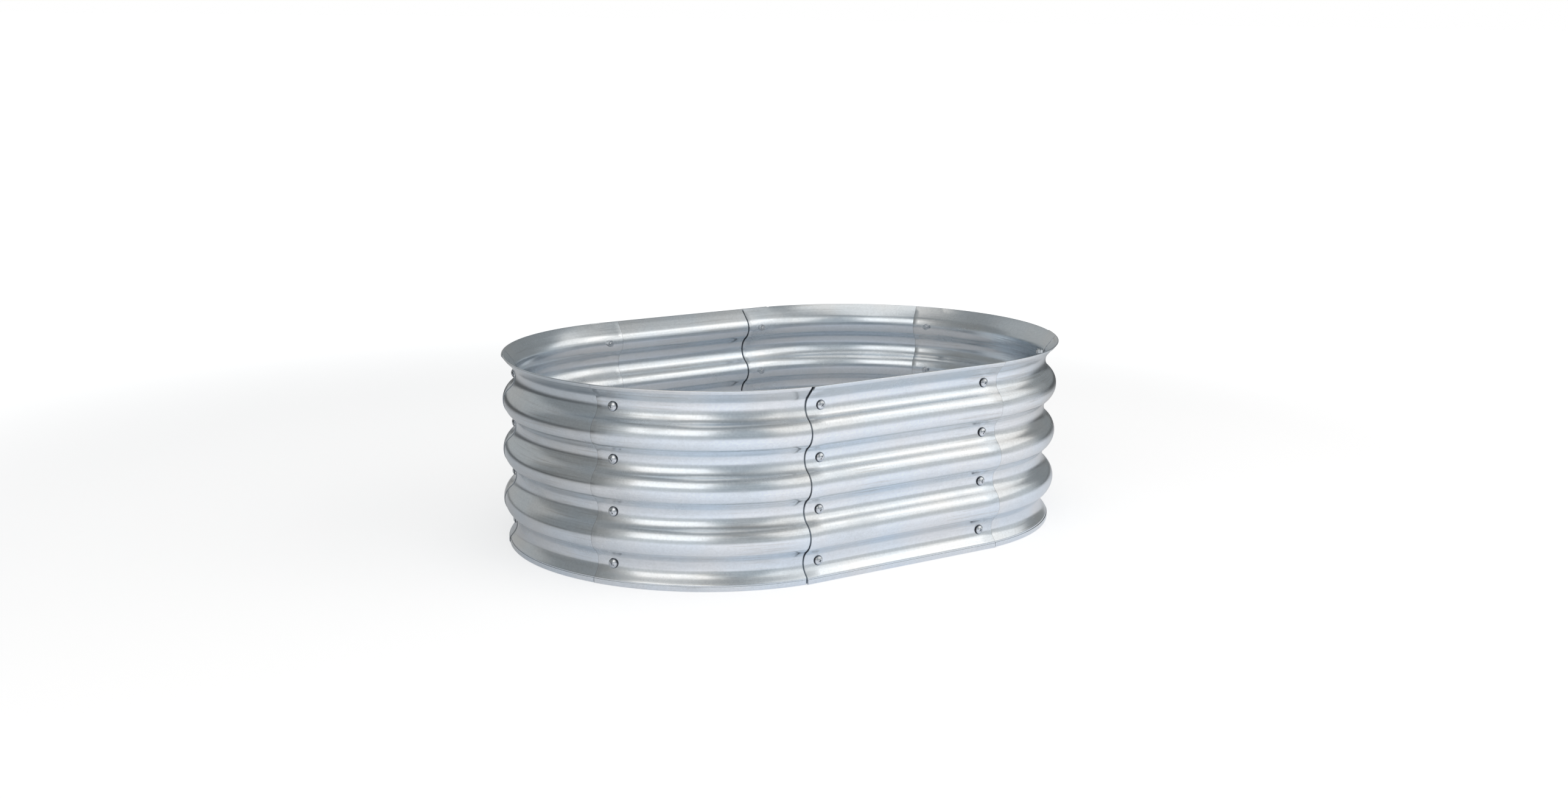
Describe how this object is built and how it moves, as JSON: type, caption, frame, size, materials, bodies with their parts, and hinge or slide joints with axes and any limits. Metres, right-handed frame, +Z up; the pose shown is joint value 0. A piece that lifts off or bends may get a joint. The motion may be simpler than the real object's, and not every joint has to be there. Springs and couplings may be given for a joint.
{
  "type": "raised garden bed",
  "caption": "Oval raised garden bed of corrugated galvanised steel panels, bent round both ends and bolted at lapped seams, open at the top and the bottom.",
  "frame": {"origin": "on the ground under the centre of the bed", "axes": "+X along the straight panels towards the right end, +Y towards the back, +Z up"},
  "size_m": [0.927, 0.6272, 0.2908],
  "materials": {
    "galvanised_sheet": "bright galvanised sheet with fine rolling lines",
    "bolt_steel": "polished domed heads with a cross recess",
    "nut_steel": "plain zinc-plated"
  },
  "bodies": {
    "root": {"front_panel": "galvanised_sheet", "back_panel": "galvanised_sheet", "left_front_panel": "galvanised_sheet", "left_end_panel": "galvanised_sheet", "left_back_panel": "galvanised_sheet", "right_front_panel": "galvanised_sheet", "right_end_panel": "galvanised_sheet", "right_back_panel": "galvanised_sheet", "front_left_seam_bolts": "bolt_steel", "front_right_seam_bolts": "bolt_steel", "back_left_seam_bolts": "bolt_steel", "back_right_seam_bolts": "bolt_steel", "left_front_seam_bolts": "bolt_steel", "left_back_seam_bolts": "bolt_steel", "right_front_seam_bolts": "bolt_steel", "right_back_seam_bolts": "bolt_steel", "front_left_seam_nuts": "nut_steel", "front_right_seam_nuts": "nut_steel", "back_left_seam_nuts": "nut_steel", "back_right_seam_nuts": "nut_steel", "left_front_seam_nuts": "nut_steel", "left_back_seam_nuts": "nut_steel", "right_front_seam_nuts": "nut_steel", "right_back_seam_nuts": "nut_steel"}
  },
  "joints": []
}
